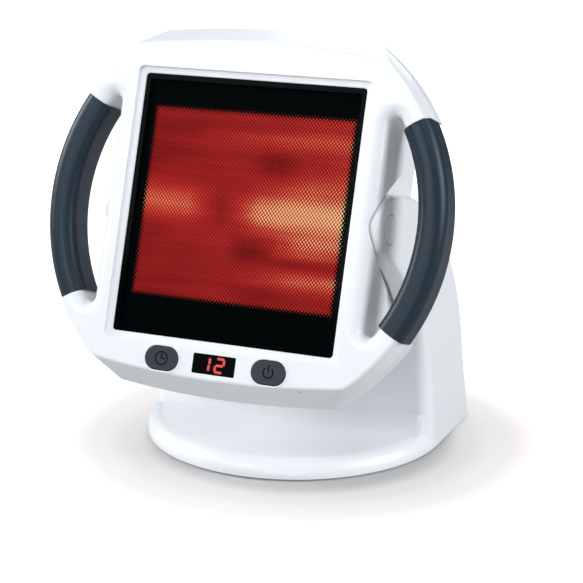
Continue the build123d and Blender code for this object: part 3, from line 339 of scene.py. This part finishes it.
# Painted glow smears: strength, middle, width, slope, start, end and fade; a minus strength makes
# a painted dark smear.
for strength, *shape in ((0.34, 0.002, 0.0135, 0.02, -0.120, -0.016, 0.022),
                         (0.40, 0.001, 0.0105, -0.02, -0.012, 0.150, 0.026),
                         (0.12, 0.001, 0.0240, 0.0, 0.000, 0.150, 0.030),
                         (0.14, 0.049, 0.0060, 0.0, -0.040, 0.150, 0.040),
                         (0.12, 0.022, 0.0080, 0.0, 0.020, 0.150, 0.030),
                         (0.20, -0.042, 0.0055, 0.0, 0.000, 0.150, 0.040),
                         (0.16, -0.018, 0.0080, 0.0, 0.025, 0.150, 0.020),
                         (-0.16, -0.030, 0.0035, 0.0, 0.020, 0.150, 0.020),
                         (-0.10, -0.055, 0.0050, 0.0, -0.010, 0.150, 0.030),
                         (-0.16, 0.033, 0.0080, 0.0, 0.002, 0.042, 0.016),
                         (-0.20, -0.025, 0.0080, 0.0, -0.008, 0.030, 0.014),
                         (-0.08, 0.036, 0.0200, 0.0, -0.120, -0.050, 0.030),
                         (-0.07, -0.030, 0.0120, 0.0, -0.120, -0.050, 0.030)):
    level = wire(tree, "ShaderNodeMath", painted_smear(*shape), strength, level, operation="MULTIPLY_ADD")

row_pitch = 0.0015
hole_pitch = 0.0024
contrast_middle = 0.78
contrast_rise = 3.6
hole_paleness = 1.3
# The product of two waves sets the holes of every second row half a pitch aside.
rows = wire(tree, "ShaderNodeMath", upward, pi / row_pitch, operation="MULTIPLY")
rows = wire(tree, "ShaderNodeMath", rows, operation="COSINE")
columns = wire(tree, "ShaderNodeMath", across, 2 * pi / hole_pitch, operation="MULTIPLY")
columns = wire(tree, "ShaderNodeMath", columns, operation="COSINE")
mesh_holes = wire(tree, "ShaderNodeMath", rows, columns, operation="MULTIPLY")
mesh_holes = wire(tree, "ShaderNodeMath", mesh_holes, 0.5, 0.5, operation="MULTIPLY_ADD")
hole_swing = wire(tree, "ShaderNodeMath", mesh_holes, 0.5, operation="SUBTRACT")
# Painted glow is brighter through the mesh holes, more so towards the right.
contrast = wire(tree, "ShaderNodeMath", across, contrast_rise, contrast_middle,
                operation="MULTIPLY_ADD")
hole_light = wire(tree, "ShaderNodeMath", hole_swing, contrast, 1.0, operation="MULTIPLY_ADD")
heat = ramp(tree, wire(tree, "ShaderNodeMath", hole_light, level, operation="MULTIPLY"),
            ((0.0, (0.030, 0.0045, 0.0045)), (0.25, (0.19, 0.0075, 0.008)),
             (0.45, (0.35, 0.015, 0.014)), (0.60, (0.49, 0.026, 0.021)),
             (0.75, (0.61, 0.070, 0.042)), (0.90, (0.72, 0.21, 0.10)), (1.0, (0.83, 0.46, 0.22))))
paler = wire(tree, "ShaderNodeMath", hole_swing, hole_paleness, 1.0, operation="MULTIPLY_ADD")
paler = wire(tree, "ShaderNodeCombineXYZ", 1.0, paler, paler)
meshed = wire(tree, "ShaderNodeVectorMath", heat, paler, operation="MULTIPLY")

glow_shift = 0.0009
glow_half_width = 0.0731
glow_low = -0.0615
glow_high = 0.0673
edge_width = 0.004
edge_start, edge_end = 0.75, 1.1
dark_screen = (0.0006, 0.0014, 0.0014, 1)
shifted = wire(tree, "ShaderNodeMath", across, -glow_shift, operation="ADD")
from_edge = edge_distance(tree, shifted, upward, glow_half_width, glow_low, glow_high)
fade_in = wire(tree, "ShaderNodeMath", from_edge, 1 / edge_width, operation="MULTIPLY")
fade_in = wire(tree, "ShaderNodeMath", fade_in, mesh_holes, operation="ADD")
fade_in = wire(tree, "ShaderNodeMapRange", fade_in, edge_start, edge_end, 0.0, 1.0)
tree.links.new(wire(tree, "ShaderNodeMix", fade_in, dark_screen, meshed, data_type="RGBA"),
               shader.inputs["Emission Color"])
screen.data.materials.append(painted_glow)
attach(screen, "head")

# ---- Display: window, digits, module, board and switches
# A black acrylic window lies flush in the front under the glass, with a black module, a green
# circuit board and the switches behind it. Two seven-segment digits glow red through it; each
# segment is a flat six-sided bar laid on the window's face.
display_acrylic = moulded("display_acrylic", (0.002, 0.003, 0.003), 0.12, grain=900, depth=0.00001,
                          specular=0.08)
paint_nodes(display_acrylic, "display_window")
black_plastic = moulded("black_plastic", (0.022, 0.022, 0.024), 0.5, grain=1200, depth=0.00006,
                        tone=0.10)
paint_nodes(black_plastic, "display_module", "tact_switches")
green_board = moulded("green_board", (0.02, 0.14, 0.05), 0.3, grain=500, depth=0.00005, tone=0.10)
paint_nodes(green_board, "control_board")

deep_red = (0.62, 0.022, 0.026, 1)
bright_red = (0.80, 0.085, 0.075, 1)
digit_red, tree, shader = new_paint("digit_red", {"Base Color": (0.05, 0.0, 0.0, 1),
                                                  "Emission Strength": 1.0})
flicker = wire(tree, "ShaderNodeTexNoise", object_place(tree), 1200.0, 1.0)
tree.links.new(wire(tree, "ShaderNodeMix", flicker, deep_red, bright_red, data_type="RGBA"),
               shader.inputs["Emission Color"])

control_height = -0.1023
print_thickness = 0.00008


def printed_bar(start, end, radius, sides, turn=0.0):
    """Flat printed bar between two points in the xy plane: a disc pulled out to the end."""
    start = Vector((*start, 0))
    run = Vector((*end, 0)) - start
    bpy.ops.object.select_all(action="DESELECT")
    bpy.ops.mesh.primitive_cylinder_add(vertices=sides, radius=radius, depth=print_thickness,
                                        location=start, rotation=(0, 0, turn))
    bpy.ops.object.transform_apply(location=True, rotation=True, scale=True)
    bar = bpy.context.object
    bpy.ops.object.mode_set(mode="EDIT")
    bpy.ops.mesh.select_mode(type="VERT")
    bpy.ops.mesh.select_all(action="DESELECT")
    bpy.ops.object.mode_set(mode="OBJECT")
    for vertex in bar.data.vertices:
        vertex.select = (vertex.co - start).dot(run) > 0
    bpy.ops.object.mode_set(mode="EDIT")
    bpy.ops.transform.translate(value=run)
    bpy.ops.object.mode_set(mode="OBJECT")
    return bar


def join_print(name, pieces, across, forward):
    """Joins flat pieces and lays them on the head's front at the height of the controls."""
    bpy.ops.object.select_all(action="DESELECT")
    for piece in pieces:
        piece.select_set(True)
    bpy.context.view_layer.objects.active = pieces[0]
    bpy.ops.object.join()
    joined = bpy.context.object
    joined.name = name
    joined.matrix_world = head_place @ Matrix.Translation((across, control_height, forward))
    bpy.ops.object.transform_apply(location=True, rotation=True, scale=True)
    bpy.ops.object.mode_set(mode="EDIT")
    bpy.ops.mesh.select_all(action="SELECT")
    bpy.ops.mesh.normals_make_consistent(inside=False)
    bpy.ops.object.mode_set(mode="OBJECT")
    return joined


digits_across = -0.0007
digits_forward = 0.00404
digit_height = 0.0089
digit_width = 0.0056
digit_lean = 0.10
segment_radius = 0.0010
segment_gap = 0.0002
segment_heights = {"a": 0.5, "b": 0.25, "c": -0.25, "d": -0.5, "e": -0.25, "g": 0.0}
segment_sides = {"b": 0.5, "c": 0.5, "e": -0.5}
segments = []
for digit_middle, lit in ((-0.0061, "bc"), (0.0041, "abged")):
    for letter in lit:
        upright = letter in segment_sides
        length = (digit_height / 2 if upright else digit_width) - segment_gap
        height = segment_heights[letter] * digit_height
        side = segment_sides.get(letter, 0) * digit_width
        middle = Vector((digit_middle + side + height * digit_lean, height))
        half = (length / 2 - segment_radius) * Vector((0, 1) if upright else (1, 0))
        segments.append(printed_bar(middle - half, middle + half, segment_radius, sides=6,
                                    turn=0 if upright else pi / 2))
digits = join_print("display_digits", segments, digits_across, digits_forward)
digits.data.materials.append(digit_red)
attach(digits, "head")

# ---- Push buttons and their signs
# Two oval caps in slate grey with a silky surface. A small clock on the timer button and an
# open ring with a stroke on the power button are printed in black.
button_plastic = moulded("button_plastic", (0.030, 0.034, 0.044), 0.42, grain=1700, depth=0.00005,
                         tone=0.06, specular=0.25)
paint_nodes(button_plastic, "timer_button", "power_button")
sign_ink = moulded("sign_ink", (0.003, 0.003, 0.004), 0.6, depth=0.00001, specular=0.1)

button_across = 0.0387
sign_forward = 0.00503
sign_line = 0.0010
ring_flatness = 0.1


def printed_ring(radius, gap_degrees):
    """Flat printed ring lying in the xy plane, open at the top if a gap is given."""
    bpy.ops.object.select_all(action="DESELECT")
    bpy.ops.mesh.primitive_torus_add(major_radius=radius, minor_radius=sign_line / 2,
                                     major_segments=72, minor_segments=8)
    ring = bpy.context.object
    bpy.ops.object.mode_set(mode="EDIT")
    bpy.ops.transform.resize(value=(1, 1, ring_flatness))
    bpy.ops.mesh.select_mode(type="VERT")
    bpy.ops.mesh.select_all(action="DESELECT")
    bpy.ops.object.mode_set(mode="OBJECT")
    if gap_degrees:
        for vertex in ring.data.vertices:
            away = Vector((0, 1)).angle(Vector((vertex.co.x, vertex.co.y)))
            vertex.select = away < radians(gap_degrees / 2)
        bpy.ops.object.mode_set(mode="EDIT")
        bpy.ops.mesh.delete(type="VERT")
        bpy.ops.mesh.select_all(action="SELECT")
        bpy.ops.mesh.fill_holes(sides=8)
        bpy.ops.object.mode_set(mode="OBJECT")
    return ring


for name, body, across, radius, gap_degrees, strokes in (
        ("timer_sign", "timer_button", -button_across, 0.0043, 0,
         (((0, 0), (0, 0.0030)), ((0.0001, 0), (0.0022, 0)))),
        ("power_sign", "power_button", button_across, 0.0035, 70,
         (((0, 0.0004), (0, 0.0046)),))):
    pieces = [printed_ring(radius, gap_degrees)]
    for start, end in strokes:
        pieces.append(printed_bar(start, end, sign_line / 2, sides=12))
    sign = join_print(name, pieces, across, sign_forward)
    sign.data.materials.append(sign_ink)
    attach(sign, body)

# ---- Heater: reflector, tubes, holders and shield
# Polished aluminium troughs carry two quartz tubes with wound coils, held in steatite blocks.
# A plain aluminium shield keeps the heat off the housing, with the cutout and terminals on it.
polished = moulded("polished_aluminium", (0.86, 0.86, 0.88), 0.12, grain=3000, depth=0.00001,
                   metallic=1.0)
paint_nodes(polished, "reflector")
mill_sheet = moulded("mill_aluminium", (0.70, 0.70, 0.72), 0.38, grain=700, depth=0.00004,
                     tone=0.06, metallic=1.0)
paint_nodes(mill_sheet, "heat_shield")
steatite = moulded("steatite", (0.74, 0.71, 0.63), 0.65, grain=900, depth=0.00008, tone=0.05)
paint_nodes(steatite, "tube_holders", "coil_sleeves", "terminal_block")
quartz = moulded("quartz_tube", (0.80, 0.70, 0.62), 0.10, grain=800, depth=0.00001, tone=0.04)
quartz.node_tree.nodes["Principled BSDF"].inputs["Alpha"].default_value = 0.45
paint_nodes(quartz, "heater_tubes")
coil_wire = moulded("coil_wire", (0.40, 0.33, 0.30), 0.4, grain=4000, depth=0.00020, tone=0.15,
                    metallic=1.0)
paint_nodes(coil_wire, "heater_coils")
phenolic = moulded("phenolic", (0.035, 0.028, 0.024), 0.5, grain=900, depth=0.00006, tone=0.12)
paint_nodes(phenolic, "thermal_cutout")

# ---- Rear housing, fan and long screws
# The housing is a light grey moulding with a fine spark-eroded grain, screwed on from behind.
# A small black fan sits against its grille; the screws are zinc plated.
housing_plastic = moulded("housing_plastic", (0.78, 0.79, 0.80), 0.45, grain=1100, depth=0.00008,
                          tone=0.02)
paint_nodes(housing_plastic, "rear_housing")
paint_nodes(black_plastic, "fan_frame", "fan_rotor")
paint_nodes(zinc, "housing_screws")
